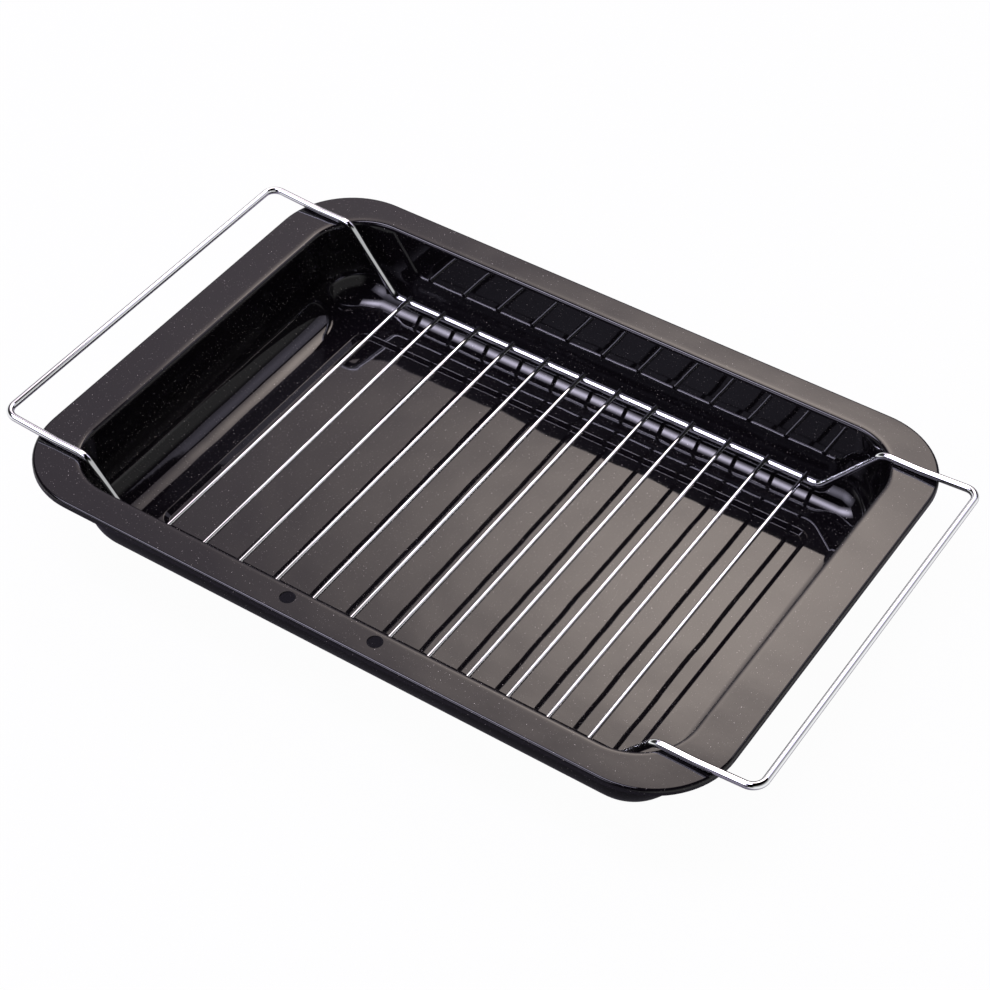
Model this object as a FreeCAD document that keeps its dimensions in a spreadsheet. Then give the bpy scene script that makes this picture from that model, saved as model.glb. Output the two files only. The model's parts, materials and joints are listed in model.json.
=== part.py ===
# Broiler pan: a pressed, enamelled steel pan with a plated wire rack that hangs in it.
# Origin: middle of the face that the pan rests on. +X runs along the pan, +Z points up.
import FreeCAD, Part
import math
import os

from FreeCAD import Placement, Rotation, Vector
from Sketcher import Constraint

doc = FreeCAD.newDocument("broiler_pan")

# Driving sizes in millimetres, angles in degrees
SIZES = {
    # sheet and rim
    "sheet": 1.0,
    "rim_length": 400.0,
    "rim_width": 288.0,
    "rim_corner": 45.0,
    "rim_skirt": 3.4,
    "rim_roll": 1.6,
    # tub: the flange is what lies between the rim's edge and the mouth
    "flange_end": 24.0,
    "flange_side": 18.5,
    "mouth_corner": 31.0,
    "mouth_round": 3.5,
    "pan_height": 52.5,
    "wall_draft": 2.0,
    "floor_round": 20.0,
    # panel pressed down in the middle of the floor, set in from the mouth
    "panel_inset_end": 32.5,
    "panel_inset_side": 34.5,
    "panel_corner": 8.0,
    "panel_drop": 2.0,
    "panel_slope": 40.0,
    "panel_round": 3.0,
    # two holes in the rim on one long side, clear of the bend into the mouth
    "hole_width": 8.0,
    "hole_spacing": 51.0,
    "hole_clearance": 0.2,
    "hole_round": 0.2,
    # rack frame, sizes to the middle of the wire, set in from the mouth or the rim's edge
    "frame_wire": 4.0,
    "rail_inset": 12.2,
    "rail_stand": 12.7,
    "leg_top_inset": 9.8,
    "leg_lean": 31.5,
    "kink_inset": 14.0,
    "handle_reach": 19.3,
    "handle_rise": 2.2,
    "leg_bend": 9.0,
    "kink_bend": 40.0,
    "handle_bend": 7.0,
    # cross wires, the outer ones set in from the foot of the legs
    "cross_wire": 2.5,
    "cross_wire_overhang": 1.7,
    "cross_wire_inset": 8.9,
    "cross_wire_round": 0.5,
    "weld_depth": 0.4,
}
CROSS_WIRES = 12

# Sizes that follow from the driving ones
FOLLOWING = {
    "mouth_length": "rim_length - 2 * flange_end",
    "mouth_width": "rim_width - 2 * flange_side",
    "panel_length": "mouth_length - 2 * panel_inset_end",
    "panel_width": "mouth_width - 2 * panel_inset_side",
    "hole_setback": "flange_side - mouth_round - hole_clearance - hole_width / 2",
    "rail_spacing": "mouth_width - 2 * rail_inset",
    "rail_height": "panel_drop + sheet + rail_stand",
    "leg_top_spacing": "mouth_length - 2 * leg_top_inset",
    "leg_foot_spacing": "leg_top_spacing - 2 * leg_lean",
    "kink_spacing": "rim_length - 2 * kink_inset",
    "handle_spacing": "rim_length + 2 * handle_reach",
    "cross_wire_length": "rail_spacing + 2 * cross_wire_overhang",
    "cross_wire_pitch": f"(leg_foot_spacing - 2 * cross_wire_inset) / {CROSS_WIRES - 1}",
}

# How near a point has to lie to count as being on an edge, in millimetres
TOUCH = 0.02

sheet_object = doc.addObject("Spreadsheet::Sheet", "sizes")
formulas = {alias: "=" + formula for alias, formula in FOLLOWING.items()}
for row, (alias, content) in enumerate({**SIZES, **formulas}.items(), start=1):
    sheet_object.set(f"A{row}", alias)
    sheet_object.set(f"B{row}", str(content))
    sheet_object.setAlias(f"B{row}", alias)
doc.recompute()


def size(alias):
    """The value of one cell of the sheet."""
    return float(getattr(sheet_object, alias))


def bind(thing, prop, formula):
    """Bind a property to a formula whose words in braces are cells of the sheet."""
    for alias in [*SIZES, *FOLLOWING]:
        formula = formula.replace("{" + alias + "}", "sizes." + alias)
    thing.setExpression(prop, formula)


# Helpers for bodies and sketches

def new_body(label):
    body = doc.addObject("PartDesign::Body", label)
    body.Label = label
    return body


def plane_sketch(body, name, height):
    """A sketch on the body's own XY plane, lifted to a height given as a formula."""
    sketch = body.newObject("Sketcher::SketchObject", name)
    plane = next(f for f in body.Origin.OriginFeatures if f.Role == "XY_Plane")
    sketch.AttachmentSupport = [(plane, "")]
    sketch.MapMode = "FlatFace"
    bind(sketch, "AttachmentOffset.Base.z", height)
    return sketch


def rounded_rectangle(sketch, length, width, corner):
    """Four sides and four equal corner arcs about the origin, each size a formula."""
    half_x, half_y, radius = 180.0, 120.0, 30.0
    inner_x = half_x - radius
    inner_y = half_y - radius
    ends = [
        (Vector(-inner_x, -half_y), Vector(inner_x, -half_y)),
        (Vector(half_x, -inner_y), Vector(half_x, inner_y)),
        (Vector(inner_x, half_y), Vector(-inner_x, half_y)),
        (Vector(-half_x, inner_y), Vector(-half_x, -inner_y)),
    ]
    sides = [sketch.addGeometry(Part.LineSegment(a, b)) for a, b in ends]
    middles = [(inner_x, -inner_y), (inner_x, inner_y), (-inner_x, inner_y), (-inner_x, -inner_y)]
    arcs = []
    for index, (x, y) in enumerate(middles):
        circle = Part.Circle(Vector(x, y), Vector(0, 0, 1), radius)
        start = math.radians(-90 + 90 * index)
        arcs.append(sketch.addGeometry(Part.ArcOfCircle(circle, start, start + math.pi / 2)))
    for index in range(4):
        sketch.addConstraint(Constraint("Tangent", sides[index], 2, arcs[index], 1))
        sketch.addConstraint(Constraint("Tangent", arcs[index], 2, sides[(index + 1) % 4], 1))
    for index in range(4):
        direction = ("Horizontal", "Vertical")[index % 2]
        sketch.addConstraint(Constraint(direction, sides[index]))
    for arc in arcs[1:]:
        sketch.addConstraint(Constraint("Equal", arcs[0], arc))
    sketch.addConstraint(Constraint("Symmetric", sides[0], 1, sides[2], 1, -1, 1))
    driven = (
        ("length", Constraint("DistanceX", sides[3], 1, sides[1], 1, 2 * half_x), length),
        ("width", Constraint("DistanceY", sides[0], 1, sides[2], 1, 2 * half_y), width),
        ("corner", Constraint("Radius", arcs[0], radius), corner),
    )
    for name, constraint, formula in driven:
        number = sketch.addConstraint(constraint)
        sketch.renameConstraint(number, name)
        bind(sketch, "Constraints." + name, formula)


def circle(sketch, name, x, y, radius):
    """A circle whose centre lies at distances from the origin that the caller binds."""
    geometry = sketch.addGeometry(Part.Circle(Vector(x, y), Vector(0, 0, 1), size("hole_width") / 2))
    # the distance runs from the lower to the higher coordinate, so that it stays positive
    across = (-1, 1, geometry, 3) if x > 0 else (geometry, 3, -1, 1)
    number = sketch.addConstraint(Constraint("DistanceX", *across, abs(x)))
    sketch.renameConstraint(number, name + "_x")
    number = sketch.addConstraint(Constraint("DistanceY", geometry, 3, -1, 1, abs(y)))
    sketch.renameConstraint(number, name + "_y")
    number = sketch.addConstraint(Constraint("Radius", geometry, size("hole_width") / 2))
    sketch.renameConstraint(number, name + "_radius")
    bind(sketch, f"Constraints.{name}_radius", radius)


def pad(body, name, sketch, length, down=False, draft=None):
    feature = body.newObject("PartDesign::Pad", name)
    feature.Profile = sketch
    feature.Reversed = down
    bind(feature, "Length", length)
    if draft:
        bind(feature, "TaperAngle", draft)
    return feature


def pocket(body, name, sketch, length, up=False, draft=None):
    feature = body.newObject("PartDesign::Pocket", name)
    feature.Profile = sketch
    feature.Reversed = up
    bind(feature, "Length", length)
    if draft:
        bind(feature, "TaperAngle", draft)
    return feature


def round_edges(body, name, chosen, radius):
    """Round the edges of the body so far for which chosen(edge) is true."""
    doc.recompute()
    base = body.Tip
    edges = [f"Edge{i}" for i, edge in enumerate(base.Shape.Edges, start=1) if chosen(edge)]
    if not edges:
        raise ValueError(name + " found no edge")
    feature = body.newObject("PartDesign::Fillet", name)
    feature.Base = (base, edges)
    bind(feature, "Radius", radius)


def fillet(body, name, outline, radius):
    """Round the edges of the body so far that lie on a level rounded rectangle."""
    round_edges(body, name, lambda edge: on_ring(edge, outline), radius)


def hole_edge(edge):
    """True for a whole circle of the rim's holes."""
    curve = edge.Curve
    return isinstance(curve, Part.Circle) and abs(curve.Radius - size("hole_width") / 2) < TOUCH


def on_ring(edge, ring):
    """True where both ends and the middle of an edge lie on a ring (height, half x, half y, corner)."""
    height, half_x, half_y, corner = ring
    middle = edge.valueAt((edge.FirstParameter + edge.LastParameter) / 2)
    for point in [middle] + [vertex.Point for vertex in edge.Vertexes]:
        over_x = abs(point.x) - (half_x - corner)
        over_y = abs(point.y) - (half_y - corner)
        outside = math.hypot(max(over_x, 0), max(over_y, 0)) + min(max(over_x, over_y), 0)
        if abs(outside - corner) > TOUCH or abs(point.z - height) > TOUCH:
            return False
    return True


def ring(height, length, width, corner, grow=0.0):
    """A level rounded rectangle, grown outwards by a distance that may be negative."""
    return (height, length / 2 + grow, width / 2 + grow, corner + grow)


# Pan: one pressed sheet. Its outside is built up first, then the inside is cut out of it.
pan = new_body("pan")
rim_top = size("pan_height")
draft_slope = math.tan(math.radians(size("wall_draft")))
wall_across = size("sheet") / math.cos(math.radians(size("wall_draft")))
tub_depth = size("pan_height") - size("panel_drop")
panel_across = size("sheet") * math.tan(math.radians(size("panel_slope")) / 2)
panel_run = size("panel_drop") / math.tan(math.radians(size("panel_slope")))
floor_height = size("panel_drop") + size("sheet")
MOUTH = (size("mouth_length"), size("mouth_width"), size("mouth_corner"))
PANEL = (size("panel_length"), size("panel_width"), size("panel_corner"))
RIM = (size("rim_length"), size("rim_width"), size("rim_corner"))

# Rim: a flat flange whose outer edge is turned down
rim_sketch = plane_sketch(pan, "rim_outline", "{pan_height}")
rounded_rectangle(rim_sketch, "{rim_length}", "{rim_width}", "{rim_corner}")
pad(pan, "rim_blank", rim_sketch, "{rim_skirt}", down=True)
fillet(pan, "rim_roll_outside", ring(rim_top, *RIM), "{rim_roll}")

under_sketch = plane_sketch(pan, "rim_under_outline", "{pan_height} - {rim_skirt}")
rounded_rectangle(
    under_sketch,
    "{rim_length} - 2 * {sheet}",
    "{rim_width} - 2 * {sheet}",
    "{rim_corner} - {sheet}",
)
pocket(pan, "rim_under", under_sketch, "{rim_skirt} - {sheet}", up=True)
fillet(
    pan,
    "rim_roll_inside",
    ring(rim_top - size("sheet"), *RIM, grow=-size("sheet")),
    "{rim_roll} - {sheet}",
)

# Tub: tapered walls with the thickness of the sheet outside the mouth's sizes
tub_sketch = plane_sketch(pan, "tub_outline", "{pan_height}")
rounded_rectangle(
    tub_sketch,
    "{mouth_length} + 2 * {sheet} / cos({wall_draft} * 1deg)",
    "{mouth_width} + 2 * {sheet} / cos({wall_draft} * 1deg)",
    "{mouth_corner} + {sheet} / cos({wall_draft} * 1deg)",
)
pad(pan, "tub", tub_sketch, "{pan_height} - {panel_drop}", down=True, draft="-{wall_draft} * 1deg")

# Panel: the middle of the floor, which the pan rests on
panel_sketch = plane_sketch(pan, "panel_outline", "{panel_drop}")
rounded_rectangle(
    panel_sketch,
    "{panel_length} + 2 * {sheet} * tan({panel_slope} * 0.5deg)",
    "{panel_width} + 2 * {sheet} * tan({panel_slope} * 0.5deg)",
    "{panel_corner} + {sheet} * tan({panel_slope} * 0.5deg)",
)
pad(pan, "panel", panel_sketch, "{panel_drop}", down=True, draft="{panel_slope} * 1deg - 90deg")

# Inside: the same walls, floor and panel, cut from above
mouth_sketch = plane_sketch(pan, "mouth_outline", "{pan_height}")
rounded_rectangle(mouth_sketch, "{mouth_length}", "{mouth_width}", "{mouth_corner}")
pocket(
    pan,
    "inside",
    mouth_sketch,
    "{pan_height} - {panel_drop} - {sheet}",
    draft="-{wall_draft} * 1deg",
)
recess_sketch = plane_sketch(pan, "recess_outline", "{panel_drop} + {sheet}")
rounded_rectangle(recess_sketch, "{panel_length}", "{panel_width}", "{panel_corner}")
pocket(pan, "recess", recess_sketch, "{panel_drop}", draft="{panel_slope} * 1deg - 90deg")

# Bends of the inside, then those of the outside, a sheet wider or tighter
fillet(
    pan,
    "floor_bend_inside",
    ring(floor_height, *MOUTH, grow=-draft_slope * (rim_top - floor_height)),
    "{floor_round}",
)
fillet(pan, "mouth_bend", ring(rim_top, *MOUTH), "{mouth_round}")
fillet(pan, "panel_bend_inside", ring(floor_height, *PANEL), "{panel_round} + {sheet}")
fillet(pan, "panel_foot_inside", ring(size("sheet"), *PANEL, grow=-panel_run), "{panel_round}")
fillet(
    pan,
    "floor_bend_outside",
    ring(size("panel_drop"), *MOUTH, grow=wall_across - draft_slope * tub_depth),
    "{floor_round} + {sheet}",
)
fillet(
    pan,
    "neck_outside",
    ring(rim_top - size("sheet"), *MOUTH, grow=wall_across - draft_slope * size("sheet")),
    "{mouth_round} - {sheet}",
)
fillet(pan, "panel_bend_outside", ring(size("panel_drop"), *PANEL, grow=panel_across), "{panel_round}")
fillet(
    pan,
    "panel_foot_outside",
    ring(0.0, *PANEL, grow=panel_across - panel_run),
    "{panel_round} + {sheet}",
)

# Two holes through the rim of one long side
hole_sketch = plane_sketch(pan, "hole_places", "{pan_height}")
for name, side in (("left", -1), ("right", 1)):
    circle(hole_sketch, name, side * size("hole_spacing") / 2, -size("rim_width") / 2, "{hole_width} / 2")
    bind(hole_sketch, f"Constraints.{name}_x", "{hole_spacing} / 2")
    bind(hole_sketch, f"Constraints.{name}_y", "{rim_width} / 2 - {hole_setback}")
pocket(pan, "holes", hole_sketch, "{rim_skirt}")
round_edges(pan, "hole_edges", hole_edge, "{hole_round}")


# Rack frame: one wire bent into a closed loop. Its rails run low along the pan, its legs climb
# to arms that rest on the rim, and its ends make a handle beyond each end of the pan.
rail_height = size("rail_height")
arm_height = size("pan_height") + size("frame_wire") / 2
handle_height = arm_height + size("handle_rise")
rail_y = size("rail_spacing") / 2


def frame_points():
    """Corners of the right half of the loop, each with the radius of its bend."""
    right_side = [
        (size("leg_foot_spacing") / 2, rail_height, size("leg_bend")),
        (size("leg_top_spacing") / 2, arm_height, size("leg_bend")),
        (size("kink_spacing") / 2, arm_height, size("kink_bend")),
        (size("handle_spacing") / 2, handle_height, size("handle_bend")),
    ]
    start = [(Vector(0, rail_y, rail_height), 0)]
    far = [(Vector(x, rail_y, z), bend) for x, z, bend in right_side]
    near = [(Vector(x, -rail_y, z), bend) for x, z, bend in reversed(right_side)]
    end = [(Vector(0, -rail_y, rail_height), 0)]
    return start + far + near + end


def bent_wire(corners):
    """Straight runs joined by tangent arcs, one arc of the given radius at each inner corner."""
    edges = []
    here = corners[0][0]
    for (before, _), (corner, bend), (after, _) in zip(corners, corners[1:], corners[2:]):
        arriving = (corner - before).normalize()
        leaving = (after - corner).normalize()
        turn = arriving.getAngle(leaving)
        setback = bend * math.tan(turn / 2)
        first = corner - arriving * setback
        last = corner + leaving * setback
        inward = (leaving - arriving).normalize()
        middle = corner + inward * (bend / math.cos(turn / 2) - bend)
        edges.append(Part.LineSegment(here, first).toShape())
        edges.append(Part.Arc(first, middle, last).toShape())
        here = last
    edges.append(Part.LineSegment(here, corners[-1][0]).toShape())
    return Part.Wire(edges)


frame_path = doc.addObject("Part::Feature", "frame_path")
frame_path.Shape = bent_wire(frame_points())
frame_section = doc.addObject("Part::Circle", "frame_section")
bind(frame_section, "Radius", "{frame_wire} / 2")
frame_section.Placement = Placement(
    Vector(0, rail_y, rail_height), Rotation(Vector(0, 1, 0), 90)
)
frame_half = doc.addObject("Part::Sweep", "frame_half")
frame_half.Sections = [frame_section]
frame_half.Spine = (frame_path, [f"Edge{i + 1}" for i in range(len(frame_path.Shape.Edges))])
frame_half.Solid = True
frame_other_half = doc.addObject("Part::Mirroring", "frame_other_half")
frame_other_half.Source = frame_half
frame_other_half.Normal = Vector(1, 0, 0)
frame_loop = doc.addObject("Part::Fuse", "frame_loop")
frame_loop.Base = frame_half
frame_loop.Tool = frame_other_half
frame_loop.Refine = True

# Cross wires: straight, with dulled ends, welded down into the top of both rails
cross_wires = []
for number in range(1, CROSS_WIRES + 1):
    blank = doc.addObject("Part::Cylinder", f"cross_wire_blank_{number:02d}")
    bind(blank, "Radius", "{cross_wire} / 2")
    bind(blank, "Height", "{cross_wire_length}")
    blank.Placement = Placement(Vector(0, 0, 0), Rotation(Vector(1, 0, 0), -90))
    places_from_middle = number - (CROSS_WIRES + 1) / 2
    bind(blank, "Placement.Base.x", f"{places_from_middle} * {{cross_wire_pitch}}")
    bind(blank, "Placement.Base.y", "-{cross_wire_length} / 2")
    bind(
        blank,
        "Placement.Base.z",
        "{rail_height} + {frame_wire} / 2 + {cross_wire} / 2 - {weld_depth}",
    )
    cross_wire = doc.addObject("Part::Fillet", f"cross_wire_{number:02d}")
    cross_wire.Base = blank
    end_round = size("cross_wire_round")
    doc.recompute()
    rims = [i for i, e in enumerate(blank.Shape.Edges, start=1) if isinstance(e.Curve, Part.Circle)]
    cross_wire.Edges = [(i, end_round, end_round) for i in rims]
    cross_wires.append(cross_wire)

weld_seats = doc.addObject("Part::Compound", "weld_seats")
weld_seats.Links = cross_wires
rack_frame = doc.addObject("Part::Cut", "rack_frame")
rack_frame.Base = frame_loop
rack_frame.Tool = weld_seats

doc.recompute()
for item in doc.Objects:
    if "Invalid" in item.State or "Error" in item.State:
        raise RuntimeError(item.Name + " failed: " + str(item.State))

os.makedirs("parts", exist_ok=True)
for sub_part in [pan, rack_frame] + cross_wires:
    shape = sub_part.Shape
    if shape.isNull() or not shape.isValid() or len(shape.Solids) != 1:
        raise RuntimeError(sub_part.Label + " is not one valid solid")
    shape.exportStep(f"parts/{sub_part.Label}.step")
    print(sub_part.Label, round(shape.Volume, 1))
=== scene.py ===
"""Looks of the broiler pan: a pressed, enamelled steel pan with a chromed wire rack that hangs in it."""
import json
import math

import bpy
from mathutils import Matrix, Vector

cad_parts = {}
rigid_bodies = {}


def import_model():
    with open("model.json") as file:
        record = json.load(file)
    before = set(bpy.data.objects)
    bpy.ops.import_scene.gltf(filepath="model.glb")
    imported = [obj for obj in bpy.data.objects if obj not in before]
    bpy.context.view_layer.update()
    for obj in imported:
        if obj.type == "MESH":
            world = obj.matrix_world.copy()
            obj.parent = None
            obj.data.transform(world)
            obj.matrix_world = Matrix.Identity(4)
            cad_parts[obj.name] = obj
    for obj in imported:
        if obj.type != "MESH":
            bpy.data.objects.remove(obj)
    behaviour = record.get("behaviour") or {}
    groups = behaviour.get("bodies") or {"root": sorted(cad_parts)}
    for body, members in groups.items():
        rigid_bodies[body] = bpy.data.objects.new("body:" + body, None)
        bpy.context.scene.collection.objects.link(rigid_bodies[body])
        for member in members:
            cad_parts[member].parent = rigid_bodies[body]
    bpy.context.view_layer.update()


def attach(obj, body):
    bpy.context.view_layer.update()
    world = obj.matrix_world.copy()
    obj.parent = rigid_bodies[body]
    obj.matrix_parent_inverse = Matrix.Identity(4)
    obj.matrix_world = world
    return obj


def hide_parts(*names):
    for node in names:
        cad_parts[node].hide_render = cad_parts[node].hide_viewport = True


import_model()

MM = 0.001
BODY = "root"

# Sizes of the pan in millimetres. Heights are above the face that it rests on.
SHEET = 1.0
RIM = (400.0, 288.0, 45.0)          # length, width, corner radius
MOUTH = (352.0, 251.0, 31.0)        # where the inner walls would meet the top of the rim
PANEL = (287.0, 182.0, 8.0)         # the sunk middle of the floor, at the height of the ring round it
RIM_TOP = 52.5
SKIRT_FOOT = 49.1                   # lower edge of the rim's turned-down skirt
FLOOR_RING = 3.0                    # upper face of the floor, round the panel and in its middle
FLOOR_MIDDLE = 1.0
WALL_DRAFT = math.radians(2.0)      # off upright
PANEL_SLOPE = math.radians(36.0)    # off level
RIM_ROLL = 1.6                      # radii of the bends, on the face that is seen from above
LIP_EASE = 14.0                     # the flange dips softly before it turns down into the tub
LIP_START = 3.2                     # corner of that dip, outside the mouth
LIP_DIP = 0.45                      # how deep the dip is at the mouth
MOUTH_ROUND = 2.3
FLOOR_ROUND = 22.0
PANEL_BEND = 0.9
PANEL_FOOT = 0.6
TIGHT_LIP = 0.7                     # share of the lip's width that is left on the near side and at the right end
TIGHT_FLOOR = 0.82                  # and of the floor bend's width there
FLANGE_FLAT = 6.0                   # from a bend's corner to the last outline drawn: on the flange
RING_FLAT = 22.0                    # on the ring of the floor, inwards from the walls
PANEL_MARGIN = 3.0                  # on the ring of the floor, outwards from the panel
PANEL_FLAT = 2.0                    # in the panel
CORNER_STEPS = 20                   # faces round each corner of an outline
BEND_STEP = math.radians(7.5)       # turn of each face round a bend
BRIDGE_DROP = 30.0                  # how far below its place an outline is bridged
ENAMELLED_EDGE = 0.42               # the enamel's own rounding of a cut edge
RIM_HOLES = ((-25.5, -133.2), (25.5, -133.2))
HOLE_RADIUS = 4.0
PUNCH_LENGTH = 12.0

# Sizes of the rack in millimetres
FRAME_WIRE = 4.0
CROSS_WIRE = 2.5
CROSS_WIRE_LENGTH = 230.0
CROSS_WIRE_END = 0.5                # rounding of the cut ends
CROSS_WIRE_PITCH = 22.873
CROSS_WIRE_HEIGHT = 18.55
CROSS_WIRES = 12
RAIL_Y = 113.3
RAIL_HEIGHT = 15.7
ARM_HEIGHT = 54.5
HANDLE_HEIGHT = 56.7
# right half of one side of the loop: distance along the pan, height, radius of the bend there
FRAME_BENDS = ((134.7, RAIL_HEIGHT, 9.0), (166.2, ARM_HEIGHT, 9.0), (186.0, ARM_HEIGHT, 40.0),
               (219.3, HANDLE_HEIGHT, 7.0))


# Working in Blender

def nothing_selected():
    """Leaves edit mode and drops every selection, so that the next operator acts on its own piece alone."""
    if bpy.context.object and bpy.context.object.mode == "EDIT":
        bpy.ops.object.mode_set(mode="OBJECT")
    bpy.ops.object.select_all(action="DESELECT")


def take(piece):
    """Makes one piece the active and only selected object."""
    nothing_selected()
    piece.select_set(True)
    bpy.context.view_layer.objects.active = piece


def new_piece(name):
    """An empty mesh at the origin, open in edit mode."""
    nothing_selected()
    piece = bpy.data.objects.new(name, bpy.data.meshes.new(name))
    bpy.context.scene.collection.objects.link(piece)
    take(piece)
    bpy.ops.object.mode_set(mode="EDIT")
    bpy.ops.mesh.select_mode(type="VERT")
    return piece


def modify(piece, kind, **settings):
    """Adds one modifier to a piece and applies it."""
    take(piece)
    modifier = piece.modifiers.new(kind.title(), kind)
    for name, value in settings.items():
        setattr(modifier, name, value)
    bpy.ops.object.modifier_apply(modifier=modifier.name)


def finish_surface(piece, angle):
    """Smooth shading across gentle turns, with flat faces kept flat up to their bends."""
    take(piece)
    bpy.ops.object.shade_smooth_by_angle(angle=math.radians(angle))
    modify(piece, "WEIGHTED_NORMAL", keep_sharp=True, weight=50)


def put_in_place(piece, material, slot, *nodes):
    """Gives a finished piece its material, its body and the solids that it stands for."""
    piece.data.materials.clear()
    piece.data.materials.append(material)
    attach(piece, BODY)
    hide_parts(*nodes)


# Materials

def linear(hex_colour):
    """A linear colour from an sRGB hex value such as #8c8a86."""
    values = [int(hex_colour[i:i + 2], 16) / 255 for i in (1, 3, 5)]
    return tuple(v / 12.92 if v <= 0.04045 else ((v + 0.055) / 1.055) ** 2.4 for v in values) + (1.0,)


def add_node(tree, kind, settings=None, **inputs):
    """Adds a node; an input is a value or another node's output socket."""
    node = tree.nodes.new(kind)
    for name, value in (settings or {}).items():
        setattr(node, name, value)
    for name, value in inputs.items():
        socket = node.inputs[int(name[1:])] if name[0] == "_" else node.inputs[name.replace("_", " ")]
        if isinstance(value, bpy.types.NodeSocket):
            tree.links.new(value, socket)
        else:
            socket.default_value = value
    return node


def empty_tree(holder):
    """Turns on the nodes of a material, a lamp or the world, and clears them."""
    holder.use_nodes = True
    holder.node_tree.nodes.clear()
    return holder.node_tree


def black_vitreous_enamel():
    """Gloss black vitreous enamel, sprayed and fired: glass-smooth black that mirrors what is round it, with the
    faint ripple of fired glass and fine pale specks of the ground coat."""
    material = bpy.data.materials.new("black_vitreous_enamel")
    tree = empty_tree(material)
    place = add_node(tree, "ShaderNodeTexCoord").outputs["Object"]

    def specks(spacing_mm, radius_mm, share, seed):
        """Dots of one size, one in each cell of that spacing, of which a share is kept at uneven strengths."""
        moved = add_node(tree, "ShaderNodeVectorMath", {"operation": "ADD"}, _0=place,
                         _1=(seed, seed * 0.7, seed * 0.4))
        cells = add_node(tree, "ShaderNodeTexVoronoi", {"feature": "F1", "voronoi_dimensions": "3D"},
                         Vector=moved.outputs[0], Scale=1 / (spacing_mm * MM), Randomness=1.0)
        dot = add_node(tree, "ShaderNodeMapRange", {"interpolation_type": "SMOOTHSTEP"},
                       Value=cells.outputs["Distance"], From_Min=radius_mm / spacing_mm,
                       From_Max=radius_mm / spacing_mm * 0.45, To_Min=0.0, To_Max=1.0)
        chance = add_node(tree, "ShaderNodeSeparateColor", None, Color=cells.outputs["Color"])
        kept = add_node(tree, "ShaderNodeMapRange", None, Value=chance.outputs["Red"], From_Min=1.0 - share,
                        From_Max=1.0, To_Min=0.0, To_Max=1.0)
        return add_node(tree, "ShaderNodeMath", {"operation": "MULTIPLY"}, _0=dot.outputs[0],
                        _1=kept.outputs[0]).outputs[0]

    # both kinds are drawn about twice as large as in the enamel, to show at the photograph's distance
    bright = specks(1.9, 0.25, 0.55, 0.31)
    faint = specks(1.0, 0.2, 0.6, 0.83)
    faint_part = add_node(tree, "ShaderNodeMath", {"operation": "MULTIPLY"}, _0=faint, _1=0.35)
    speck = add_node(tree, "ShaderNodeMath", {"operation": "MAXIMUM"}, _0=bright, _1=faint_part.outputs[0])
    colour = add_node(tree, "ShaderNodeMix", {"data_type": "RGBA"}, _0=speck.outputs[0])
    colour.inputs[6].default_value = linear("#0a080b")
    colour.inputs[7].default_value = linear("#a8a19d")

    # fired glass has a slow ripple from the pressed sheet, and a finer one from the sprayed coat
    slow = add_node(tree, "ShaderNodeTexNoise", {"noise_dimensions": "3D"}, Vector=place, Scale=1 / (38 * MM),
                    Detail=1.0, Roughness=0.5)
    fine = add_node(tree, "ShaderNodeTexNoise", {"noise_dimensions": "3D"}, Vector=place, Scale=1 / (5 * MM),
                    Detail=1.0, Roughness=0.4)
    slow_ripple = add_node(tree, "ShaderNodeBump", None, Height=slow.outputs[0], Strength=1.0, Distance=0.35 * MM)
    ripple = add_node(tree, "ShaderNodeBump", None, Height=fine.outputs[0], Normal=slow_ripple.outputs[0],
                      Strength=1.0, Distance=0.010 * MM)
    haze = add_node(tree, "ShaderNodeMapRange", None, Value=slow.outputs[0], To_Min=0.03, To_Max=0.05)
    # the IOR is a little under the usual 1.5 of glass
    shader = add_node(tree, "ShaderNodeBsdfPrincipled", None, Base_Color=colour.outputs[2], Metallic=0.0, IOR=1.4,
                      Roughness=haze.outputs[0], Normal=ripple.outputs[0])
    add_node(tree, "ShaderNodeOutputMaterial", None, Surface=shader.outputs[0])
    return material


def bright_chrome_plating():
    """Bright chrome plating on drawn steel wire: a cool white mirror, with the faint lengthwise unevenness of wire
    under a thin plate."""
    material = bpy.data.materials.new("bright_chrome_plating")
    tree = empty_tree(material)
    place = add_node(tree, "ShaderNodeTexCoord").outputs["Object"]
    uneven = add_node(tree, "ShaderNodeTexNoise", {"noise_dimensions": "3D"}, Vector=place, Scale=1 / (9 * MM),
                      Detail=2.0, Roughness=0.5)
    haze = add_node(tree, "ShaderNodeMapRange", None, Value=uneven.outputs[0], To_Min=0.02, To_Max=0.07)
    bump = add_node(tree, "ShaderNodeBump", None, Height=uneven.outputs[0], Strength=1.0, Distance=0.006 * MM)
    shader = add_node(tree, "ShaderNodeBsdfPrincipled", None, Base_Color=linear("#eeeff1"), Metallic=1.0,
                      Roughness=haze.outputs[0], Normal=bump.outputs[0])
    add_node(tree, "ShaderNodeOutputMaterial", None, Surface=shader.outputs[0])
    return material


# Pan

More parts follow.
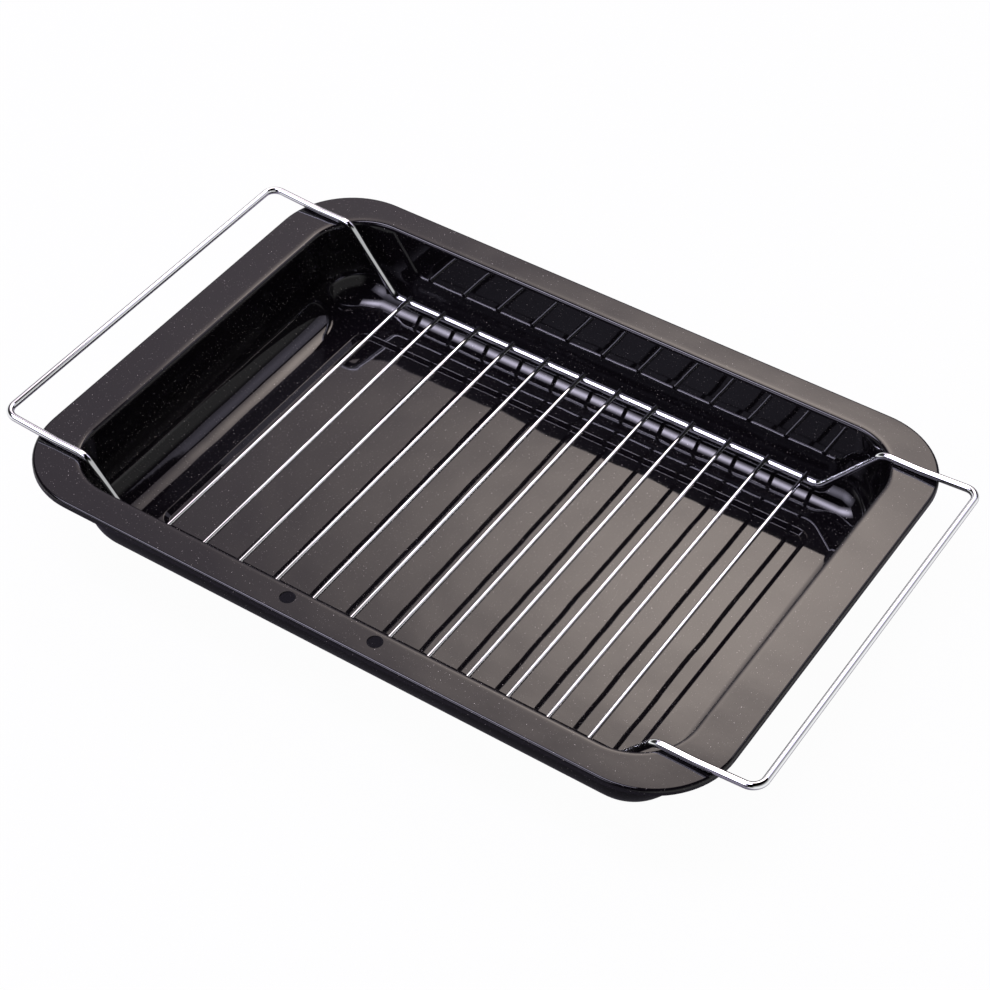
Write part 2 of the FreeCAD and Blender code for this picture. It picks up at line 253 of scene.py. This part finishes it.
def ease(corners):
    """Points of a section (outward distance, height) whose inner corners are rounded to the radius given there."""
    points = [corners[0][:2]]
    for (bx, bz, _), (x, z, radius), (ax, az, _) in zip(corners, corners[1:], corners[2:]):
        here = Vector((x, z))
        back = (Vector((bx, bz)) - here).normalized()
        on = (Vector((ax, az)) - here).normalized()
        turn = math.pi - back.angle(on)
        setback = radius * math.tan(turn / 2)
        centre = here + (back + on).normalized() * (radius / math.cos(turn / 2))
        start = here + back * setback - centre
        side = 1 if back.x * on.y - back.y * on.x < 0 else -1
        steps = max(2, math.ceil(turn / BEND_STEP))
        for step in range(steps + 1):
            angle = side * turn * step / steps
            cos, sin = math.cos(angle), math.sin(angle)
            points.append((centre.x + start.x * cos - start.y * sin, centre.y + start.x * sin + start.y * cos))
    points.append(corners[-1][:2])
    return points


def add_outline(place, length, width, corner, height):
    """Adds a level rounded rectangle to the open mesh: a plane with its four corners bevelled."""
    bpy.ops.mesh.select_all(action="DESELECT")
    bpy.ops.mesh.select_mode(type="VERT")
    middle = Vector((*place, height)) * MM
    bpy.ops.mesh.primitive_plane_add(size=1, location=middle)
    bpy.ops.transform.resize(value=(length * MM, width * MM, 1), center_override=middle)
    bpy.ops.mesh.bevel(offset=corner * MM, offset_type="OFFSET", segments=CORNER_STEPS, profile=0.5,
                       affect="VERTICES")


def pressed_sheet(piece):
    """The upper face of the pan: outlines from the foot of the rim's skirt to the panel, each bridged to the next."""
    wall_run = math.tan(WALL_DRAFT) * (RIM_TOP - FLOOR_RING)
    slope_run = (FLOOR_RING - FLOOR_MIDDLE) / math.tan(PANEL_SLOPE)
    rim_section = ease([(0, SKIRT_FOOT, 0), (0, RIM_TOP, RIM_ROLL), (-FLANGE_FLAT, RIM_TOP, 0)])
    mouth_section = ease([(FLANGE_FLAT, RIM_TOP, 0), (LIP_START, RIM_TOP, LIP_EASE),
                          (0, RIM_TOP - LIP_DIP, MOUTH_ROUND), (-wall_run, FLOOR_RING, FLOOR_ROUND),
                          (-wall_run - RING_FLAT, FLOOR_RING, 0)])
    panel_section = ease([(PANEL_MARGIN, FLOOR_RING, 0), (0, FLOOR_RING, PANEL_BEND),
                          (-slope_run, FLOOR_MIDDLE, PANEL_FOOT), (-slope_run - PANEL_FLAT, FLOOR_MIDDLE, 0)])
    outlines = [(RIM, point) for point in rim_section] + [(MOUTH, point) for point in mouth_section]
    outlines += [(PANEL, point) for point in panel_section]
    before = None
    for (length, width, corner), (out, height) in outlines:
        # the near side and the right end are pressed tighter than the far side and the left end
        tight = out
        if length == MOUTH[0] and out > 0:
            tight = out * TIGHT_LIP
        elif length == MOUTH[0] and out < -wall_run:
            tight = -wall_run + (out + wall_run) * TIGHT_FLOOR
        bpy.ops.object.mode_set(mode="OBJECT")
        known = len(piece.data.vertices)
        bpy.ops.object.mode_set(mode="EDIT")
        # each outline is bridged from below and then lifted, because a bridge between level outlines twists
        shift = (out - tight) / 2
        add_outline((-shift, shift), length + out + tight, width + out + tight, corner + out, height - BRIDGE_DROP)
        if (length, out) != (PANEL[0], panel_section[-1][0]):
            bpy.ops.mesh.delete(type="ONLY_FACE")
        bpy.ops.object.mode_set(mode="OBJECT")
        new = range(known, len(piece.data.vertices))
        if before is not None:
            both = set(before) | set(new)
            for vertex in piece.data.vertices:
                vertex.select = vertex.index in both
            for edge in piece.data.edges:
                edge.select = both.issuperset(edge.vertices)
            for face in piece.data.polygons:
                face.select = False
            bpy.ops.object.mode_set(mode="EDIT")
            bpy.ops.mesh.select_mode(type="EDGE")
            bpy.ops.mesh.bridge_edge_loops()
            bpy.ops.object.mode_set(mode="OBJECT")
        for vertex in piece.data.vertices:
            vertex.select = vertex.index in new
        for edge in piece.data.edges:
            edge.select = all(index in new for index in edge.vertices)
        for face in piece.data.polygons:
            face.select = False
        bpy.ops.object.mode_set(mode="EDIT")
        bpy.ops.mesh.select_mode(type="VERT")
        bpy.ops.transform.translate(value=(0, 0, BRIDGE_DROP * MM))
        before = new


def make_pan(enamel):
    """The pan: its upper face is drawn, thickened to a sheet, pierced for the two holes and softened at its edges."""
    pan = new_piece("pan_enamelled_sheet")
    pressed_sheet(pan)
    bpy.ops.mesh.select_all(action="SELECT")
    bpy.ops.mesh.normals_make_consistent(inside=False)
    bpy.ops.object.mode_set(mode="OBJECT")
    # the drawn face has to look up, because the sheet's thickness is added below it
    middle = min(pan.data.polygons, key=lambda face: face.center.z + face.center.xy.length)
    if middle.normal.z < 0:
        bpy.ops.object.mode_set(mode="EDIT")
        bpy.ops.mesh.select_all(action="SELECT")
        bpy.ops.mesh.flip_normals()
        bpy.ops.object.mode_set(mode="OBJECT")
    modify(pan, "SOLIDIFY", thickness=SHEET * MM, offset=-1.0, use_even_offset=True, use_rim=True)

    for x, y in RIM_HOLES:
        nothing_selected()
        bpy.ops.mesh.primitive_cylinder_add(vertices=64, radius=HOLE_RADIUS * MM, depth=PUNCH_LENGTH * MM,
                                            location=(x * MM, y * MM, RIM_TOP * MM))
        punch = bpy.context.object
        modify(pan, "BOOLEAN", operation="DIFFERENCE", solver="EXACT", object=punch)
        bpy.data.objects.remove(punch)

    modify(pan, "BEVEL", width=ENAMELLED_EDGE * MM, segments=3, limit_method="ANGLE", angle_limit=math.radians(60),
           offset_type="WIDTH", harden_normals=False)
    finish_surface(pan, 50)
    put_in_place(pan, enamel, "enamel", "pan")


# Rack

def wire_section(wire, centre, direction):
    """Starts a round wire in the open mesh: a circle across its direction."""
    turn = Vector((0, 0, 1)).rotation_difference(direction).to_euler()
    bpy.ops.mesh.primitive_circle_add(vertices=32, radius=wire / 2 * MM, location=centre * MM, rotation=turn)


def bend_wire(corners):
    """Draws the wire on from corner to corner: a straight run, then a bend of the radius given at the corner."""
    here = corners[0][0]
    for (before, _), (corner, radius), (after, _) in zip(corners, corners[1:], corners[2:]):
        arriving = (corner - before).normalized()
        leaving = (after - corner).normalized()
        turn = arriving.angle(leaving)
        setback = radius * math.tan(turn / 2)
        tangent = corner - arriving * setback
        bpy.ops.mesh.extrude_region_move(TRANSFORM_OT_translate={"value": (tangent - here) * MM})
        inward = (leaving - arriving).normalized()
        centre = corner + inward * (radius / math.cos(turn / 2))
        axis = arriving.cross(leaving).normalized()
        bpy.ops.mesh.spin(steps=max(3, math.ceil(turn / math.radians(5))), angle=-turn, center=centre * MM, axis=axis)
        here = corner + leaving * setback
    bpy.ops.mesh.extrude_region_move(TRANSFORM_OT_translate={"value": (corners[-1][0] - here) * MM})


def make_frame(chrome):
    """The rack's frame: one closed loop of wire, drawn round from the middle of the far rail."""
    rack = new_piece("rack_frame_wire")
    quarter = [(Vector((x, RAIL_Y, z)), radius) for x, z, radius in FRAME_BENDS]
    near = [(Vector((p.x, -p.y, p.z)), radius) for p, radius in reversed(quarter)]
    right = quarter + near
    left = [(Vector((-p.x, p.y, p.z)), radius) for p, radius in reversed(right)]
    start = Vector((0, RAIL_Y, RAIL_HEIGHT))
    wire_section(FRAME_WIRE, start, Vector((1, 0, 0)))
    bend_wire([(start, 0)] + right + left + [(start, 0)])
    bpy.ops.mesh.select_all(action="SELECT")
    bpy.ops.mesh.remove_doubles(threshold=0.01 * MM)
    bpy.ops.mesh.normals_make_consistent(inside=False)
    bpy.ops.object.mode_set(mode="OBJECT")
    finish_surface(rack, 40)
    put_in_place(rack, chrome, "plated_wire", "rack_frame")


def make_cross_wires(chrome):
    """Twelve straight wires: one is made, with dulled ends, and copied."""
    nothing_selected()
    first = -(CROSS_WIRES - 1) / 2 * CROSS_WIRE_PITCH
    bpy.ops.mesh.primitive_cylinder_add(vertices=24, radius=CROSS_WIRE / 2 * MM, depth=CROSS_WIRE_LENGTH * MM,
                                        location=(first * MM, 0, CROSS_WIRE_HEIGHT * MM),
                                        rotation=(math.radians(90), 0, 0))
    wire = bpy.context.object
    bpy.ops.object.transform_apply(location=True, rotation=True, scale=True)
    modify(wire, "BEVEL", width=CROSS_WIRE_END * MM, segments=4, limit_method="ANGLE", angle_limit=math.radians(60))
    finish_surface(wire, 40)
    for number in range(1, CROSS_WIRES + 1):
        copy = wire if number == 1 else wire.copy()
        if number > 1:
            copy.data = wire.data.copy()
            bpy.context.scene.collection.objects.link(copy)
            copy.data.transform(Matrix.Translation(((number - 1) * CROSS_WIRE_PITCH * MM, 0, 0)))
        copy.name = copy.data.name = f"cross_wire_rod_{number:02d}"
    for number in range(1, CROSS_WIRES + 1):
        piece = bpy.data.objects[f"cross_wire_rod_{number:02d}"]
        put_in_place(piece, chrome, "plated_wire", f"cross_wire_{number:02d}")


# Studio: floor, lamps, sky and camera

LAMP_DISTANCE = 2.2                 # metres from the object's middle

def pale_floor():
    """A plain pale floor that the eye sees as white, with the object's shadow on it. The gloss sees it too, with
    painted
    shade: dim beside the pan and pale beyond its ends."""
    nothing_selected()
    bpy.ops.mesh.primitive_plane_add(size=12, location=(0, 0, 0))
    floor = bpy.context.object
    floor.name = "floor"
    material = bpy.data.materials.new("matt_white_floor")
    tree = empty_tree(material)
    ray = add_node(tree, "ShaderNodeLightPath").outputs
    # painted shade for the gloss: a ramp on the distance beyond the ends of the pan, dim beside it and pale further
    # out
    place = add_node(tree, "ShaderNodeTexCoord").outputs["Object"]
    across = add_node(tree, "ShaderNodeVectorMath", {"operation": "ABSOLUTE"}, _0=place)
    along = add_node(tree, "ShaderNodeSeparateXYZ", None, Vector=across.outputs[0]).outputs["X"]
    painted_gloss_shade = add_node(tree, "ShaderNodeMapRange", {"interpolation_type": "SMOOTHSTEP"}, Value=along,
                        From_Min=(RIM[0] / 2 + 10) * MM, From_Max=(RIM[0] / 2 + 130) * MM, To_Min=0.03, To_Max=0.9)
    # the matt part is a grey darker than the white floor, painted shade that the gloss sees beside the pan; the light
    # and shadow on it are real
    matt = add_node(tree, "ShaderNodeBsdfDiffuse", None, Color=linear("#6c6872"))
    white = add_node(tree, "ShaderNodeEmission", None, Color=linear("#ffffff"), Strength=1.08)
    seen = add_node(tree, "ShaderNodeMath", {"operation": "MAXIMUM"}, _0=ray["Is Camera Ray"],
                    _1=ray["Is Transmission Ray"])
    gloss = add_node(tree, "ShaderNodeMath", {"operation": "MULTIPLY"}, _0=ray["Is Glossy Ray"],
                     _1=painted_gloss_shade.outputs[0])
    share = add_node(tree, "ShaderNodeMath", {"operation": "MULTIPLY_ADD", "use_clamp": True}, _0=seen.outputs[0],
                     _1=0.9, _2=gloss.outputs[0])
    mixed = add_node(tree, "ShaderNodeMixShader", None, _0=share.outputs[0], _1=matt.outputs[0], _2=white.outputs[0])
    add_node(tree, "ShaderNodeOutputMaterial", None, Surface=mixed.outputs[0])
    floor.data.materials.append(material)


def softbox(name, azimuth, elevation, distance, width, height, along, spot, spot_tint, rim_tint, peak, rim, spread):
    """A large soft lamp that faces the object, brightest round one spot and dimmer towards its edges. Azimuth is
    counted from +Y towards +X, in degrees; lengths are in metres. The lamp's middle lies `along` its plane to the
    right of the line of sight from the object, and `spot` is counted from that line, to the right and upwards."""
    lamp = bpy.data.lights.new(name, "AREA")
    lamp.shape = "RECTANGLE"
    lamp.size, lamp.size_y = width, height
    lamp.color = (1, 1, 1)
    lamp.energy = math.pi * width * height   # then a strength of 1 in the nodes is a radiance of 1
    tree = empty_tree(lamp)
    place = add_node(tree, "ShaderNodeNewGeometry").outputs["Parametric"]
    # the lamp's own X runs to the left as seen from the object
    middle_x = 0.5 + (along - spot[0]) / width
    middle_y = 0.5 + spot[1] / height
    bell_place = add_node(tree, "ShaderNodeMapping", {"vector_type": "POINT"}, Vector=place)
    bell_place.inputs["Scale"].default_value = (width / spread[0], height / spread[1], 0)
    bell_place.inputs["Location"].default_value = (-middle_x * width / spread[0], -middle_y * height / spread[1], 0)
    square = add_node(tree, "ShaderNodeVectorMath", {"operation": "DOT_PRODUCT"}, _0=bell_place.outputs[0],
                      _1=bell_place.outputs[0])
    fade = add_node(tree, "ShaderNodeMath", {"operation": "MULTIPLY"}, _0=square.outputs["Value"], _1=-1.0)
    bell = add_node(tree, "ShaderNodeMath", {"operation": "EXPONENT"}, _0=fade.outputs[0])
    strength = add_node(tree, "ShaderNodeMath", {"operation": "MULTIPLY"}, _0=bell.outputs[0], _1=peak)
    bright = add_node(tree, "ShaderNodeEmission", None, Color=linear(spot_tint), Strength=strength.outputs[0])
    even = add_node(tree, "ShaderNodeEmission", None, Color=linear(rim_tint), Strength=rim)
    glow = add_node(tree, "ShaderNodeAddShader", None, _0=bright.outputs[0], _1=even.outputs[0])
    add_node(tree, "ShaderNodeOutputLight", None, Surface=glow.outputs[0])
    holder = bpy.data.objects.new(name, lamp)
    bpy.context.scene.collection.objects.link(holder)
    a, e = math.radians(azimuth), math.radians(elevation)
    towards = Vector((math.sin(a) * math.cos(e), math.cos(a) * math.cos(e), math.sin(e)))
    right = Vector((math.cos(a), -math.sin(a), 0))
    holder.location = towards * distance + right * along
    holder.rotation_euler = towards.to_track_quat("Z", "Y").to_euler()


def white_sweep():
    """The sky: white to the eye; for the gloss, a white sweep that ends low, with the dark of the studio over it."""
    world = bpy.data.worlds.new("studio")
    bpy.context.scene.world = world
    tree = empty_tree(world)
    ray = add_node(tree, "ShaderNodeLightPath").outputs
    direction = add_node(tree, "ShaderNodeTexCoord").outputs["Generated"]
    ways = add_node(tree, "ShaderNodeSeparateXYZ", None, Vector=direction).outputs
    sweep = add_node(tree, "ShaderNodeMapRange", {"interpolation_type": "SMOOTHSTEP"}, Value=ways["Z"], From_Min=0.10,
                     From_Max=0.34, To_Min=1.0, To_Max=0.03)
    sideways = add_node(tree, "ShaderNodeMath", {"operation": "ABSOLUTE"}, _0=ways["X"])
    ends = add_node(tree, "ShaderNodeMapRange", {"interpolation_type": "SMOOTHSTEP"}, Value=sideways.outputs[0],
                    From_Min=0.45, From_Max=0.70, To_Min=0.04, To_Max=1.0)
    low = add_node(tree, "ShaderNodeMath", {"operation": "MULTIPLY"}, _0=sweep.outputs[0], _1=ends.outputs[0])
    lit = add_node(tree, "ShaderNodeMapRange", None, Value=ray["Is Diffuse Ray"], To_Min=0.0, To_Max=0.5)
    # the pale right wall of the studio, below the lamps
    side = add_node(tree, "ShaderNodeMapRange", {"interpolation_type": "SMOOTHSTEP"}, Value=ways["X"], From_Min=0.38,
                    From_Max=0.60, To_Min=0.0, To_Max=0.5)
    under = add_node(tree, "ShaderNodeMapRange", {"interpolation_type": "SMOOTHSTEP"}, Value=ways["Z"], From_Min=0.50,
                     From_Max=0.68, To_Min=1.0, To_Max=0.0)
    wall = add_node(tree, "ShaderNodeMath", {"operation": "MULTIPLY"}, _0=side.outputs[0], _1=under.outputs[0])
    room = add_node(tree, "ShaderNodeMath", {"operation": "MAXIMUM"}, _0=low.outputs[0], _1=wall.outputs[0])
    studio = add_node(tree, "ShaderNodeMath", {"operation": "MAXIMUM"}, _0=room.outputs[0], _1=lit.outputs[0])
    strength = add_node(tree, "ShaderNodeMath", {"operation": "MAXIMUM"}, _0=studio.outputs[0],
                        _1=ray["Is Camera Ray"])
    sky = add_node(tree, "ShaderNodeBackground", None, Color=linear("#ffffff"), Strength=strength.outputs[0])
    add_node(tree, "ShaderNodeOutputWorld", None, Surface=sky.outputs[0])


def camera():
    """The photograph's viewpoint: above the near long side, to its right, with the frame turned a little."""
    aim = Vector((11.12, -8.35, 39.30)) * MM
    azimuth, elevation, distance = math.radians(32.40), math.radians(44.58), 1.25325
    turned = math.radians(1.238)
    back = Vector((math.sin(azimuth) * math.cos(elevation), -math.cos(azimuth) * math.cos(elevation),
                   math.sin(elevation)))
    lens = bpy.data.cameras.new("camera")
    lens.sensor_width = 36.0
    lens.lens = 90.287
    lens.clip_start, lens.clip_end = 0.05, 50
    holder = bpy.data.objects.new("camera", lens)
    bpy.context.scene.collection.objects.link(holder)
    facing = Matrix.Rotation(azimuth, 4, "Z") @ Matrix.Rotation(math.pi / 2 - elevation, 4, "X")
    holder.matrix_world = Matrix.Translation(aim + back * distance) @ facing @ Matrix.Rotation(turned, 4, "Z")
    bpy.context.scene.camera = holder


enamel = black_vitreous_enamel()
chrome = bright_chrome_plating()
make_pan(enamel)
make_frame(chrome)
make_cross_wires(chrome)

pale_floor()
white_sweep()
# the back lamp ends a little to the right of the pan's middle, and a dimmer one goes on past the gap
softbox("back_softbox", azimuth=-8, elevation=45, distance=LAMP_DISTANCE, width=1.9, height=1.5, along=-0.75,
        spot=(-0.28, 0.13), spot_tint="#fff0e4", rim_tint="#fdefff", peak=6.9, rim=0.95, spread=(0.48, 0.305))
softbox("back_right_softbox", azimuth=-8, elevation=45, distance=LAMP_DISTANCE, width=1.1, height=1.1, along=0.89,
        spot=(0.74, 0.3), spot_tint="#ece6ff", rim_tint="#ece6ff", peak=0.9, rim=0.9, spread=(0.4, 0.4))
softbox("top_softbox", azimuth=-110, elevation=69, distance=LAMP_DISTANCE, width=0.9, height=1.7, along=0,
        spot=(0, 0), spot_tint="#ece6ff", rim_tint="#ece6ff", peak=20.0, rim=1.2, spread=(0.24, 0.8))
softbox("front_softbox", azimuth=205, elevation=39, distance=LAMP_DISTANCE, width=1.6, height=1.1, along=0,
        spot=(0, 0), spot_tint="#e9e4ff", rim_tint="#e9e4ff", peak=6.0, rim=0.5, spread=(0.55, 0.4))
camera()
bpy.context.scene.view_settings.view_transform = "Standard"
